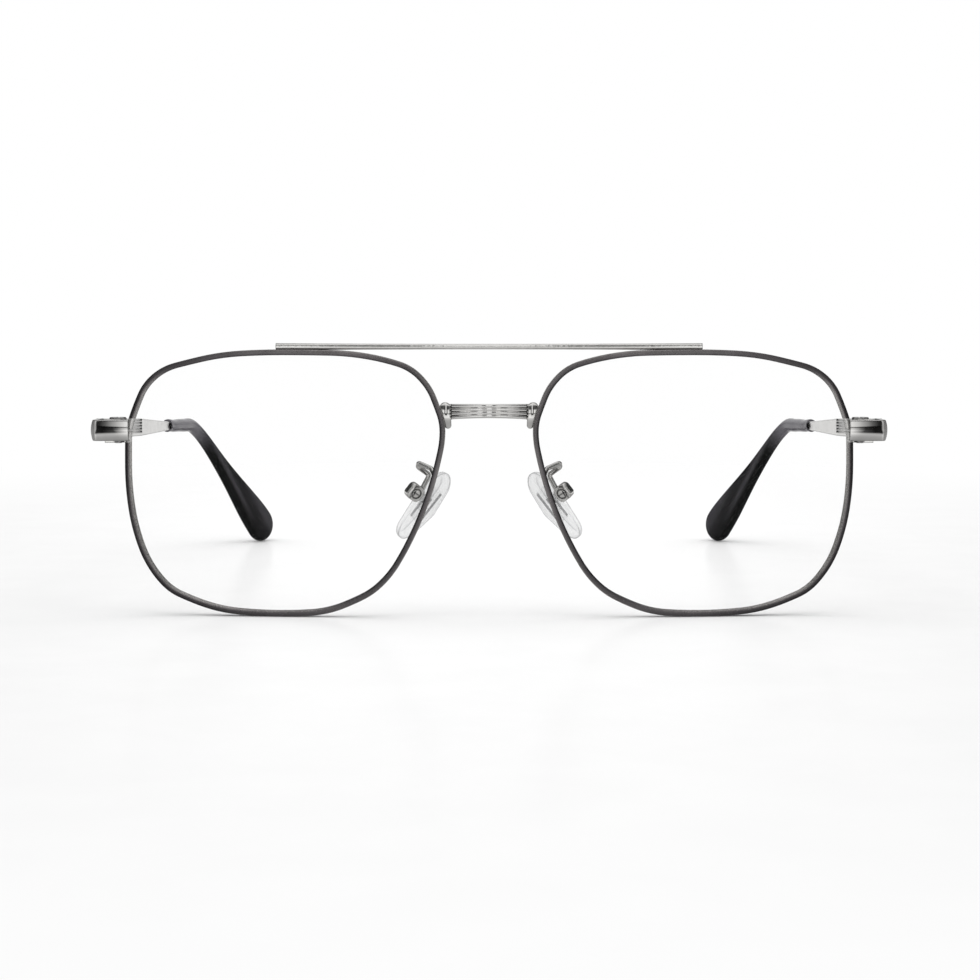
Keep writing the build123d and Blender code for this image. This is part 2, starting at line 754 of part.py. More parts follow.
hinge_place = to_origin * Pos(hinge_x, hinge_y, slit_z)
box_place = to_origin * Pos(*box_plane.origin)
print("middle", round(middle_y, 4), "front", round(front_most, 3), "rear", round(rear_most, 3))
print("hinge", [round(value, 4) for value in hinge_place.position])
print("pad pivot", [round(value, 4) for value in box_place.position])
print("pad axis", [round(value, 5) for value in box_plane.y_dir])
print("paddle centre", [round(value, 3) for value in to_origin.position + paddle_centre])
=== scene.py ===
from math import cos, pi, radians, sin

import bpy
import bmesh
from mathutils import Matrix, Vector


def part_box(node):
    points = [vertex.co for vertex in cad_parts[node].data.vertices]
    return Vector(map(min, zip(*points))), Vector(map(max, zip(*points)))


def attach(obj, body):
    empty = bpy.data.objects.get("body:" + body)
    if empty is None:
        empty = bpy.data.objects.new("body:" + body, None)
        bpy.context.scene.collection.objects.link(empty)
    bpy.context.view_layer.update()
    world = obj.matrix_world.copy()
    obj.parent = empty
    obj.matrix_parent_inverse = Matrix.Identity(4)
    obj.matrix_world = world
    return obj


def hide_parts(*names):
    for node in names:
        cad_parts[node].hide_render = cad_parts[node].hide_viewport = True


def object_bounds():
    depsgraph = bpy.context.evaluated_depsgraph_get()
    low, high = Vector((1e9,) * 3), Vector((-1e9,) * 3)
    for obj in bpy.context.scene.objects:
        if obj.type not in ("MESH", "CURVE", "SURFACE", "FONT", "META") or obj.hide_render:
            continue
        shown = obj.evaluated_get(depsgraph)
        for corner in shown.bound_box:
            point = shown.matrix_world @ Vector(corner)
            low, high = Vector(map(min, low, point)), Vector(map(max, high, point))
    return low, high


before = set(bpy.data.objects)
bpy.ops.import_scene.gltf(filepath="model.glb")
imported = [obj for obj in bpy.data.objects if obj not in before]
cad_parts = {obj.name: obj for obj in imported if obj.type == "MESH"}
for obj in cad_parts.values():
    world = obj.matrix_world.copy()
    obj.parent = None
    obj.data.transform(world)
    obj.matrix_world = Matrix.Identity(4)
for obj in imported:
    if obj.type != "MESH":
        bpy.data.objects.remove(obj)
cad_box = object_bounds()
scene = bpy.context.scene
scene.view_settings.view_transform = "Standard"

# Camera, fitted to the photograph: pixels, millimetres of sensor, then metres, and degrees for the pitch
image_px = 980
focal_px = 2088
sensor_mm = 36.0
camera_back = 0.36025
camera_side = 0.000155
camera_height = 0.0515
camera_pitch = 4.61
clip_near = 0.01

# Half the width of the floor, in metres
floor_reach = 3.0

# Places and sizes on the object that the finishes and their painted shade and highlights follow, in metres.
# The middle of a tip lies tip_foot off the middle at floor level, and tip_lean further for each metre up.
flute_end = -0.0218
flute_shade_reach = 0.0036
bridge_half = 0.0075
slit_height = 0.0325
bare_reach = 0.0021
wrap_start = 0.0628
wrap_end = 0.0682
wire_round = 0.00062
nasal_shade_start = 0.010
nasal_shade_reach = 0.012
tip_lean = 0.4146
tip_foot = 0.0526
tip_half = 0.0027
highlight_start = 0.004
highlight_reach = 0.008
sleeve_end = 0.048
sleeve_fade = 0.008
pad_face_depth = 0.0009

# Radii that the edges are eased by in the finishes, and the reach of the painted shade in crevices, in
# metres
plate_edge = 0.0003
press_edge = 0.0004
leaf_edge = 0.0002
screw_edge = 0.0001
flute_edge = 0.00008
plate_reach = 0.0007
brow_reach = 0.0003
bridge_reach = 0.0004

# Strengths of the finishes, and of the painted shade and painted highlights in them
bare_metal = (0.80, 0.79, 0.77, 1)
insert_dark = (0.06, 0.06, 0.065, 1)
insert_wall_shown = 0.12
insert_face_shown = 0.04
insert_near_shown = 0.62
lens_base_shown = 0.004
lens_edge_shown = 0.45
lens_haze = 0.003
pad_edge_shown = 0.55
pad_haze = (0.20, 0.23)
wrap_lean = 0.47
nasal_shade_share = 0.11
upward_shade_share = -0.15
sleeve_sheen_tone = 0.13
side_shade_tone = 0.72
satin_rough = 0.55
satin_start = 0.30
satin_gain = 5.0
floor_gloss = 0.24

# Light
dome_level = 0.95
lamp_place = (0, -0.02, 0.75)
lamp_size = (0.9, 0.7)
lamp_power = 2.5


def grey(level):
    """Plain grey of that level, as a solid colour."""
    return (level, level, level, 1)


# Node helpers
class Tree:
    """Short way to wire a node tree."""

    def __init__(self, owner):
        owner.use_nodes = True
        self.tree = owner.node_tree
        self.tree.nodes.clear()

    @classmethod
    def over(cls, material):
        """Goes on with the nodes that a material already has."""
        tree = cls.__new__(cls)
        tree.tree = material.node_tree
        return tree

    def find(self, kind):
        return next(node for node in self.tree.nodes if node.type == kind)

    def labelled(self, label):
        return next(node for node in self.tree.nodes if node.label == label)

    def add(self, kind, **settings):
        node = self.tree.nodes.new(kind)
        for key, value in settings.items():
            setattr(node, key, value)
        return node

    def link(self, source, target):
        self.tree.links.new(source, target)

    def value(self, socket, value):
        if hasattr(value, "links"):
            self.link(value, socket)
        else:
            socket.default_value = value

    def math(self, operation, first, second=0.0, third=0.0, clamp=False):
        node = self.add("ShaderNodeMath", operation=operation, use_clamp=clamp)
        for socket, amount in zip(node.inputs, (first, second, third)):
            self.value(socket, amount)
        return node.outputs[0]

    def ramp(self, source, stops, smooth=True):
        """Colour that follows a value through stops, each a place with a level or a colour."""
        node = self.add("ShaderNodeValToRGB")
        node.color_ramp.interpolation = "EASE" if smooth else "LINEAR"
        points = node.color_ramp.elements
        while len(points) < len(stops):
            points.new(0.5)
        for point, (place, colour) in zip(points, stops):
            point.position = place
            point.color = grey(colour) if isinstance(colour, float) else (*colour, 1)
        self.link(source, node.inputs[0])
        return node.outputs[0]

    def mix(self, share, first, second):
        node = self.add("ShaderNodeMix", data_type="RGBA")
        self.value(node.inputs["Factor"], share)
        self.value(node.inputs[6], first)
        self.value(node.inputs[7], second)
        return node.outputs[2]

    def split(self, vector):
        """The three parts of a vector, as sockets named X, Y and Z."""
        node = self.add("ShaderNodeSeparateXYZ")
        self.link(vector, node.inputs[0])
        return node.outputs

    def here(self):
        """Place of the shaded point, in metres."""
        return self.add("ShaderNodeTexCoord").outputs["Object"]

    def vector(self, operation, first, second=None):
        """Result of a vector operation on two vectors."""
        node = self.add("ShaderNodeVectorMath", operation=operation)
        self.value(node.inputs[0], first)
        if second is not None:
            self.value(node.inputs[1], second)
        return node.outputs[0]

    def lean(self, offset, edge):
        """Adds an offset to the eased normal under the bump that the material already has."""
        bent = self.vector("ADD", offset, self.rounded(edge))
        self.link(self.vector("NORMALIZE", bent), self.find("BUMP").inputs["Normal"])

    def turn(self, parts):
        """Turn of a vector seen from above, in half turns: 0 is towards the camera and 1 away from it."""
        ahead = self.math("MULTIPLY", parts["Y"], -1.0)
        return self.math("DIVIDE", self.math("ARCTAN2", self.math("ABSOLUTE", parts["X"]), ahead), pi)

    def direct(self, path):
        """One for a ray from the camera, straight or through something clear, and zero for any other."""
        return self.math("MAXIMUM", path.outputs["Is Camera Ray"], path.outputs["Is Transmission Ray"])

    def blend(self, share, first, second):
        """Mix of two shader nodes, as a node."""
        node = self.add("ShaderNodeMixShader")
        self.value(node.inputs[0], share)
        self.link(first.outputs[0], node.inputs[1])
        self.link(second.outputs[0], node.inputs[2])
        return node

    def times(self, first, second):
        node = self.add("ShaderNodeMix", data_type="RGBA", blend_type="MULTIPLY")
        node.inputs["Factor"].default_value = 1.0
        self.link(first, node.inputs[6])
        self.link(second, node.inputs[7])
        return node.outputs[2]

    def noise(self, scale, detail, roughness=0.55, stretch=(1, 1, 1)):
        """Fine random field on the object, as a level around a half."""
        scaling = self.add("ShaderNodeMapping")
        scaling.inputs["Scale"].default_value = stretch
        self.link(self.here(), scaling.inputs["Vector"])
        node = self.add("ShaderNodeTexNoise")
        node.inputs["Scale"].default_value = scale
        node.inputs["Detail"].default_value = detail
        node.inputs["Roughness"].default_value = roughness
        self.link(scaling.outputs["Vector"], node.inputs["Vector"])
        return node.outputs["Fac"]

    def spread(self, source, low, high):
        """Takes the usual span of a noise to the span from low to high."""
        node = self.add("ShaderNodeMapRange")
        node.inputs["From Min"].default_value = 0.3
        node.inputs["From Max"].default_value = 0.7
        node.inputs["To Min"].default_value = low
        node.inputs["To Max"].default_value = high
        self.link(source, node.inputs["Value"])
        return node.outputs["Result"]

    def rounded(self, radius):
        """Normal of the surface with its edges eased by that radius."""
        node = self.add("ShaderNodeBevel", samples=6)
        node.inputs["Radius"].default_value = radius
        return node.outputs["Normal"]

    def bump(self, source, height, strength, normal=None):
        node = self.add("ShaderNodeBump")
        if normal:
            self.link(normal, node.inputs["Normal"])
        node.inputs["Distance"].default_value = height
        node.inputs["Strength"].default_value = strength
        self.link(source, node.inputs["Height"])
        return node.outputs["Normal"]


def middle_of(node):
    """Middle of a node's box."""
    low, high = (Vector(corner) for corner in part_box(node))
    return (low + high) * 0.5


def shader(name, **sockets):
    """Principled material with those uniform socket values."""
    material = bpy.data.materials.new(name)
    tree = Tree(material)
    body = tree.add("ShaderNodeBsdfPrincipled")
    for key, value in sockets.items():
        body.inputs[key.replace("_", " ")].default_value = value
    output = tree.add("ShaderNodeOutputMaterial")
    tree.link(body.outputs[0], output.inputs["Surface"])
    return material, tree, body


def make_plate(name, tones, roughness, grain=(1, 1, 1), edge=plate_edge, reach=plate_reach):
    """Plated metal: soft cloudy tone, fine polish lines, and painted shade that darkens its crevices."""
    material, tree, body = shader(name, Metallic=1.0)
    cloud = tree.noise(420, 4)
    lines = tree.noise(2600, 5, 0.7, grain)
    # Painted shade: the tone is darkened wherever ambient occlusion finds crevices and nearby parts
    shade = tree.add("ShaderNodeAmbientOcclusion", samples=6)
    shade.inputs["Distance"].default_value = reach
    painted_crevice_shade = tree.ramp(shade.outputs["AO"], [(0.35, 0.04), (0.94, 1.0)])
    tone = tree.times(tree.ramp(cloud, [(0.3, tones[0]), (0.7, tones[1])]), painted_crevice_shade)
    tone.node.label = "crevice_shade"
    tree.link(tone, body.inputs["Base Color"])
    tree.link(tree.spread(lines, *roughness), body.inputs["Roughness"])
    tree.link(tree.bump(lines, 0.000002, 0.06, tree.rounded(edge)), body.inputs["Normal"])
    return material


# Darkest and lightest tone of each plate, and the span of its roughness
bright_tones = ((0.80, 0.79, 0.765), (0.88, 0.87, 0.85))
blade_tones = ((0.74, 0.73, 0.71), (0.82, 0.81, 0.79))
bridge_tones = ((0.88, 0.87, 0.85), (0.93, 0.92, 0.905))
press_tones = ((0.76, 0.75, 0.725), (0.88, 0.87, 0.85))
wrap_tones = ((0.82, 0.81, 0.79), (0.88, 0.87, 0.855))
steel_tones = ((0.60, 0.59, 0.58), (0.74, 0.73, 0.72))
mirror_finish = (0.03, 0.06)
press_finish = (0.04, 0.09)
tab_finish = (0.10, 0.20)
brushed_finish = (0.12, 0.22)
turned_finish = (0.14, 0.26)

silver = make_plate("silver_plate", bright_tones, mirror_finish)
brow_silver = make_plate("brow_silver", bright_tones, mirror_finish, (0.05, 1, 1), reach=brow_reach)
screw_steel = make_plate("screw_steel", steel_tones, turned_finish)


def make_blade_plate():
    """Brushed plate of the temples, whose painted crevice shade is deepest near the ends of the flutes."""
    material = make_plate("blade_silver", blade_tones, brushed_finish, (1, 0.05, 1))
    tree = Tree.over(material)
    shade = tree.find("AMBIENT_OCCLUSION")
    # Painted shade: near the flute ends the deep ramp darkens the crevices far more than elsewhere
    soft = tree.ramp(shade.outputs["AO"], [(0.20, 0.50), (0.90, 1.0)])
    deep = tree.ramp(shade.outputs["AO"], [(0.55, 0.02), (0.90, 1.0)])
    spot = tree.split(tree.here())
    off = tree.math("ABSOLUTE", tree.math("SUBTRACT", spot["Y"], flute_end))
    near = tree.ramp(tree.math("DIVIDE", off, flute_shade_reach), [(0.5, 1.0), (1.0, 0.0)])
    product = tree.labelled("crevice_shade")
    tree.link(tree.mix(near, soft, deep), product.inputs[7])
    return material


def make_bridge_plate():
    """Plate of the fluted bridge, with painted shade in its flutes, deepened in a few places along it as a
    painted dark reflection.
    """
    material = make_plate("bridge_silver", bridge_tones, mirror_finish, edge=flute_edge, reach=bridge_reach)
    tree = Tree.over(material)
    shade = tree.find("AMBIENT_OCCLUSION")
    deep = tree.ramp(shade.outputs["AO"], [(0.52, 0.02), (0.82, 1.0)])
    soft = tree.ramp(shade.outputs["AO"], [(0.10, 0.70), (0.60, 1.0)])
    spot = tree.split(tree.here())
    along = tree.math("DIVIDE", tree.math("ABSOLUTE", spot["X"]), bridge_half)
    # Painted reflection: bands along the bridge where the flutes take the deep, dark ramp
    dark = tree.ramp(along, [
        (0.24, 0.0), (0.30, 0.8), (0.38, 0.8), (0.46, 0.0),
        (0.64, 0.1), (0.74, 1.0)])
    product = tree.labelled("crevice_shade")
    tree.link(tree.mix(dark, soft, deep), product.inputs[7])
    return material


def make_pillow(name, node, reach, lean, edge):
    """Plate of a small pressed piece, whose faces swell softly from the middle of the node."""
    material = make_plate(name, press_tones, press_finish, edge=edge)
    tree = Tree.over(material)
    away = tree.vector("SUBTRACT", tree.here(), middle_of(node))
    scaled = tree.vector("SCALE", away)
    scaled.node.inputs["Scale"].default_value = lean / reach
    tree.lean(scaled, edge)
    return material


def make_wrapped_plate():
    """Plate of the endpieces, whose front turns softly towards the temples, as the pressed metal does; its
    sideways faces are satin and darker, a painted shade.
    """
    material = make_plate("endpiece_silver", wrap_tones, mirror_finish)
    tree = Tree.over(material)
    body = tree.find("BSDF_PRINCIPLED")
    shape = tree.add("ShaderNodeNewGeometry")
    spot = tree.split(tree.here())
    aim = tree.split(shape.outputs["Normal"])
    past = tree.math("SUBTRACT", tree.math("ABSOLUTE", spot["X"]), wrap_start)
    share = tree.math("DIVIDE", past, wrap_end - wrap_start, clamp=True)
    # One where a face looks straight forward, falling to nothing where it looks 60 degrees away
    front = tree.math("MULTIPLY_ADD", aim["Y"], -2.0, -1.0, clamp=True)
    lean = tree.math("MULTIPLY", tree.math("MULTIPLY", share, front), wrap_lean)
    turned = tree.add("ShaderNodeCombineXYZ")
    tree.link(tree.math("MULTIPLY", lean, tree.math("SIGN", spot["X"])), turned.inputs["X"])
    tree.lean(turned.outputs[0], plate_edge)
    sideways = tree.math("ABSOLUTE", tree.split(tree.rounded(plate_edge))["X"])
    satin = tree.math("MULTIPLY", tree.math("SUBTRACT", sideways, satin_start), satin_gain, clamp=True)
    fine = tree.find("MAP_RANGE").outputs["Result"]
    tree.link(tree.mix(satin, fine, grey(satin_rough)), body.inputs["Roughness"])
    # Painted shade: faces that look sideways get a darker tone as well as their satin roughness
    tone_scale = tree.mix(satin, grey(1.0), grey(side_shade_tone))
    tree.link(tree.times(tree.labelled("crevice_shade").outputs[2], tone_scale), body.inputs["Base Color"])
    return material


blade_silver = make_blade_plate()
wrapped_silver = make_wrapped_plate()


def make_lacquer(name, node):
    """Dark gunmetal lacquer with painted shade and painted highlight: black where the rounded wire faces
    away from the nose, pale where it faces the nose, paler where it faces up and darker near the nose.
    """
    material, tree, body = shader(name, Metallic=0.85, Coat_Weight=0.25, Coat_Roughness=0.12)
    middle = middle_of(node)
    round_wire = tree.rounded(wire_round)
    parts = tree.split(round_wire)
    outer = tree.math("MULTIPLY", parts["X"], 1.0 if middle.x > 0 else -1.0)
    cloud = tree.noise(300, 4)
    lines = tree.noise(2200, 5, 0.7)
    spot = tree.split(tree.here())
    across = tree.math("ABSOLUTE", spot["X"])
    inwards = tree.math("SUBTRACT", abs(middle.x) - nasal_shade_start, across)
    nasal = tree.math("DIVIDE", inwards, nasal_shade_reach, clamp=True)
    side = tree.math("MULTIPLY_ADD", nasal, nasal_shade_share, tree.math("MULTIPLY_ADD", outer, 0.5, 0.5))
    side = tree.math("MULTIPLY_ADD", parts["Z"], upward_shade_share, side)
    # Painted shade and painted highlight: the tone runs from pale to black by the way the rounded wire
    # faces
    tone = tree.ramp(side, [
        (0.12, (0.62, 0.60, 0.58)), (0.42, (0.30, 0.28, 0.28)), (0.56, (0.13, 0.12, 0.125)),
        (0.82, (0.012, 0.011, 0.012))], False)
    tone_scale = tree.ramp(cloud, [(0.3, 0.85), (0.7, 1.0)])
    off = tree.math("ABSOLUTE", tree.math("SUBTRACT", spot["Z"], slit_height))
    near = tree.math("LESS_THAN", off, bare_reach)
    temple_side = tree.math("GREATER_THAN", across, abs(middle.x))
    bare = tree.math("MULTIPLY", near, temple_side)
    tone = tree.mix(bare, tone, bare_metal)
    tree.link(tree.times(tone, tone_scale), body.inputs["Base Color"])
    tree.link(tree.spread(lines, 0.20, 0.30), body.inputs["Roughness"])
    tree.link(tree.bump(lines, 0.000004, 0.2, round_wire), body.inputs["Normal"])
    return material


def make_acetate():
    """Glossy black moulded sleeve with faint flow marks, painted shade and highlight across its width, a
    painted highlight band along its middle, and a painted reflection that greys its front.
    """
    material, tree, body = shader("black_acetate", Specular_IOR_Level=0.012)
    spot = tree.split(tree.here())
    tip_middle = tree.math("MULTIPLY_ADD", spot["Z"], tip_lean, tip_foot)
    off = tree.math("SUBTRACT", tree.math("ABSOLUTE", spot["X"]), tip_middle)
    share = tree.math("MULTIPLY_ADD", off, 0.5 / tip_half, 0.5, clamp=True)
    # Painted shade and painted highlight across the width of the tip
    plain = tree.ramp(share, [
        (0.0, 0.045), (0.26, 0.014), (0.45, 0.007), (0.62, 0.003),
        (0.74, 0.0005), (0.90, 0.001), (1.0, 0.008)])
    # Painted highlight: a pale band along the middle of the tip that grows with height
    highlight_band = tree.ramp(share, [(0.36, 0.0), (0.53, 0.040), (0.68, 0.0)])
    height = tree.math("DIVIDE", tree.math("SUBTRACT", spot["Z"], highlight_start), highlight_reach, clamp=True)
    lit = tree.mix(height, grey(0.0), highlight_band)
    tone = tree.mix(lit, plain, grey(1.0))
    # Painted reflection: the front of the sleeve fades to a pale grey
    front = tree.math("DIVIDE", tree.math("SUBTRACT", sleeve_end, spot["Y"]), sleeve_fade, clamp=True)
    faded = tree.ramp(front, [(0.0, 0.0), (1.0, 1.0)])
    tone = tree.mix(faded, tone, grey(sleeve_sheen_tone))
    cloud = tree.noise(160, 5, 0.6, (1, 0.3, 1))
    fine = tree.noise(1400, 4)
    tone_scale = tree.ramp(cloud, [(0.25, (0.78, 0.74, 0.84)), (0.75, (0.96, 0.92, 1.0))])
    tree.link(tree.times(tone, tone_scale), body.inputs["Base Color"])
    tree.link(tree.spread(fine, 0.08, 0.13), body.inputs["Roughness"])
    tree.link(tree.bump(fine, 0.000006, 0.10), body.inputs["Normal"])
    return material


acetate = make_acetate()


def make_lens_glass():
    """Clear demo lens: hardly any tint, a reflection that rises at a flat angle, and faint dust."""
    material, tree, body = shader("clear_lens", Metallic=0.0)
    facing = tree.add("ShaderNodeLayerWeight")
    facing.inputs["Blend"].default_value = 0.35
    dust = tree.noise(900, 5, 0.7)
    haze = tree.spread(dust, 0.0, lens_haze)
    edge = tree.math("MULTIPLY", tree.math("POWER", facing.outputs["Facing"], 3.0), lens_edge_shown)
    tree.link(tree.math("ADD", tree.math("ADD", edge, lens_base_shown), haze), body.inputs["Alpha"])
    tint = tree.ramp(dust, [(0.3, (0.90, 0.925, 0.92)), (0.7, (0.95, 0.965, 0.96))])
    tree.link(tint, body.inputs["Base Color"])
    tree.link(tree.spread(dust, 0.02, 0.05), body.inputs["Roughness"])
    return material


lens_glass = make_lens_glass()


def make_silicone():
    """Clear soft silicone, slightly cloudy, finely frosted, its edges darkened as they turn from view, a
    painted shade.
    """
    material, tree, body = shader("clear_silicone", IOR=1.41, Specular_IOR_Level=0.6)
    facing = tree.add("ShaderNodeLayerWeight")
    facing.inputs["Blend"].default_value = 0.4
    cloud = tree.noise(520, 4)
    fine = tree.noise(2400, 4)
    rim_share = tree.math("POWER", facing.outputs["Facing"], 1.6)
    dense = tree.math("MULTIPLY", rim_share, pad_edge_shown)
    tree.link(tree.math("ADD", dense, tree.spread(cloud, *pad_haze), clamp=True), body.inputs["Alpha"])
    # Painted shade: the colour darkens where the surface turns away from view
    tint = tree.ramp(facing.outputs["Facing"], [(0.0, (0.88, 0.885, 0.89)), (1.0, (0.25, 0.255, 0.26))])
    tree.link(tint, body.inputs["Base Color"])
    tree.link(tree.spread(fine, 0.14, 0.24), body.inputs["Roughness"])
    tree.link(tree.bump(fine, 0.000004, 0.08), body.inputs["Normal"])
    return material


silicone = make_silicone()

# Place of the left pad, in metres, and the three ways that it runs in
pad_origin = Vector((0.0115, -0.0570837, 0.01885))
pad_tilt = radians(37.7)
pad_splay = radians(30.0)
pad_long = Vector((-sin(pad_tilt), 0, cos(pad_tilt)))
pad_normal = Vector((-cos(pad_tilt) * cos(pad_splay), sin(pad_splay), -sin(pad_tilt) * cos(pad_splay)))
pad_across = pad_normal.cross(pad_long)


def make_insert():
    """Clear moulded plate whose side walls show dark, most those that face one way across the pad, and a
    steel tab that leaves the pad.
    """
    material = make_plate("pad_insert", steel_tones, tab_finish, edge=leaf_edge)
    tree = Tree.over(material)
    body = tree.find("BSDF_PRINCIPLED")
    here = tree.here()
    normal = tree.add("ShaderNodeNewGeometry").outputs["Normal"]
    flip = tree.add("ShaderNodeCombineXYZ")
    tree.link(tree.math("SIGN", tree.split(here)["X"]), flip.inputs["X"])
    flip.inputs["Y"].default_value = 1.0
    flip.inputs["Z"].default_value = 1.0

    def along(vector, way, origin=(0, 0, 0)):
        """Share of a vector along a way of the left pad, taken on the side where the vector is."""
        moved = tree.vector("SUBTRACT", tree.vector("MULTIPLY", vector, flip.outputs[0]), origin)
        return tree.vector("DOT_PRODUCT", moved, way).node.outputs["Value"]

    in_pad = tree.math("GREATER_THAN", along(here, pad_normal, pad_origin), -pad_face_depth)
    wall = tree.math("LESS_THAN", tree.math("ABSOLUTE", along(normal, pad_normal)), 0.5)
    near = tree.math("LESS_THAN", along(normal, pad_across), -0.75)
    shown = tree.math("MULTIPLY_ADD", wall, insert_wall_shown, insert_face_shown)
    shown = tree.math("MULTIPLY_ADD", near, insert_near_shown, shown)
    tree.link(tree.mix(in_pad, grey(1.0), shown), body.inputs["Alpha"])
    metal = tree.find("VALTORGB").outputs[0]
    tree.link(tree.mix(in_pad, metal, insert_dark), body.inputs["Base Color"])
    return material


insert_plate = make_insert()


def dress(name, material):
    """Puts one material on all slots of a node."""
    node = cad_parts[name]
    if not node.material_slots:
        node.data.materials.append(material)
    for place in node.material_slots:
        place.material = material


# Finish of each kind of node that exists on both sides
finishes = {
    "endpiece": wrapped_silver, "closing_block_upper": silver, "closing_block_lower": silver,
    "hinge_front_leaf": silver, "hinge_temple_leaf": silver, "pad_arm": silver,
    "lens": lens_glass, "temple_bar": blade_silver, "temple_tip": acetate,
    "rim_screw": screw_steel, "hinge_screw": screw_steel, "pad_insert": insert_plate,
}
# Pressed pieces: node, name of its finish, reach of the swelling, its lean at that reach, eased edge
pillows = [
    ("bridge_lug", "lug_silver", 0.0018, 0.75, press_edge),
    ("pad_box", "box_silver", 0.0017, 0.75, press_edge),
    ("pad_screw", "pad_screw_steel", 0.0008, 0.50, screw_edge),
]
dress("brow_bar", brow_silver)
dress("bridge_bar", make_bridge_plate())
for kind, material in finishes.items():
    for side in ("_left", "_right"):
        dress(kind + side, material)
for side in ("_left", "_right"):
    dress("rim" + side, make_lacquer("gunmetal_lacquer" + side, "rim" + side))
    for kind, finish, reach, lean, edge in pillows:
        dress(kind + side, make_pillow(finish + side, kind + side, reach, lean, edge))


# Nose pads, soft meshes over the simple solids. In the pad's own plane X runs up the pad,
# Y across it and Z out of its bearing face. Lengths are in millimetres until the mesh is placed.
pad_circles = [(4.25, 2.8), (0.0, 3.3), (-4.65, 2.4)]
pad_half = 1.05
pad_round = 0.6
pad_crown = 36.0
pad_seam = 0.035
pad_seam_half = 0.05
pad_seam_foot = 0.1
pad_back_insets = (2.2, 1.5, 1.06)
pad_step_insets = (0.98, 0.74)
pad_step_height = 0.06
pad_face_insets = (0.9, 1.4, 1.9, 2.3)
pad_round_steps = 6
least_share = 0.02
boss_centre = (1.15, -0.75)
boss_circles = [(1.1, 0.85), (-1.1, 0.85)]
boss_height = 0.42
boss_foot = 0.1
ring_turns = 96


def support(circles, turn):
    """Point of the tight loop round the circles whose outward normal has that turn."""
    return max(circles, key=lambda circle: circle[0] * cos(turn) + circle[1])


def loop_points(circles, inset):
    """Points round the loop, moved inwards by the inset, at even turns of their outward normals."""
    points = []
    for step in range(ring_turns):
        turn = 2 * pi * (step + 0.5) / ring_turns
        place, radius = support(circles, turn)
        reach = max(radius - inset, radius * least_share)
        points.append((place + reach * cos(turn), reach * sin(turn)))
    return points


def crown_drop(x, y):
    """How far the crowned bearing face has fallen at that place."""
    return (x * x + y * y) / (2 * pad_crown)


def pad_rings():
    """Rings from the middle of the back face, round the edge, to the middle of the bearing face."""
    rings = []
    for inset in pad_back_insets:
        rings.append([(x, y, -pad_half) for x, y in loop_points(pad_circles, inset)])
    for inset in pad_step_insets:
        rings.append([(x, y, -pad_half - pad_step_height) for x, y in loop_points(pad_circles, inset)])
    for step in range(pad_round_steps + 1):
        turn = pi / 2 * step / pad_round_steps
        inset = pad_round * (1 - sin(turn))
        height = -pad_half + pad_round * (1 - cos(turn))
        rings.append([(x, y, height) for x, y in loop_points(pad_circles, inset)])
    seam = [(-pad_seam_foot, 0), (-pad_seam_half, pad_seam), (pad_seam_half, pad_seam), (pad_seam_foot, 0)]
    for height, swell in seam:
        rings.append([(x, y, height) for x, y in loop_points(pad_circles, -swell)])
    for step in range(pad_round_steps + 1):
        turn = pi / 2 * step / pad_round_steps
        inset = pad_round * (1 - cos(turn))
        ring = []
        for x, y in loop_points(pad_circles, inset):
            ring.append((x, y, pad_half - crown_drop(x, y) - pad_round * (1 - sin(turn))))
        rings.append(ring)
    for inset in pad_face_insets:
        rings.append([(x, y, pad_half - crown_drop(x, y)) for x, y in loop_points(pad_circles, inset)])
    return rings


def boss_rings():
    """Rings of the moulded collar round the tab, from inside the pad out to its rolled lip."""
    low = -pad_half + boss_foot
    rise = -pad_half - boss_height
    profile = [(-0.22, low), (-0.22, -pad_half - 0.05), (-0.08, -pad_half - 0.14), (0.0, rise + 0.14),
               (0.05, rise + 0.04), (0.14, rise), (0.26, rise + 0.04), (0.3, rise + 0.14), (0.3, low)]
    rings = []
    for inset, height in profile:
        ring = []
        for x, y in loop_points(boss_circles, inset):
            ring.append((x + boss_centre[0], y + boss_centre[1], height))
        rings.append(ring)
    return rings


def add_rings(mesh, rings, place, capped):
    """Skins a run of rings, with a flat fan at each end where it is capped."""
    loops = [[mesh.verts.new(place(point)) for point in ring] for ring in rings]
    for first, second in zip(loops, loops[1:]):
        for step in range(ring_turns):
            after = (step + 1) % ring_turns
            mesh.faces.new((first[step], first[after], second[after], second[step]))
    if capped:
        mesh.faces.new(loops[0][::-1])
        mesh.faces.new(loops[-1])


def make_nose_pad(side, sign):
    """Clear pad with a parting seam, a step round its back and a collar round the tab."""

    def place(point):
        x, y, z = (value / 1000 for value in point)
        spot = pad_origin + pad_long * x + pad_across * y + pad_normal * z
        return (spot.x * sign, spot.y, spot.z)

    mesh = bmesh.new()
    add_rings(mesh, pad_rings(), place, True)
    add_rings(mesh, boss_rings(), place, False)
    bmesh.ops.recalc_face_normals(mesh, faces=mesh.faces)
    data = bpy.data.meshes.new("soft_pad" + side)
    mesh.to_mesh(data)
    mesh.free()
    for face in data.polygons:
        face.use_smooth = True
    data.materials.append(silicone)
    pad = bpy.data.objects.new("soft_pad" + side, data)
    scene.collection.objects.link(pad)
    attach(pad, "pad" + side)
    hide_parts("nose_pad" + side)


make_nose_pad("_left", 1)
make_nose_pad("_right", -1)


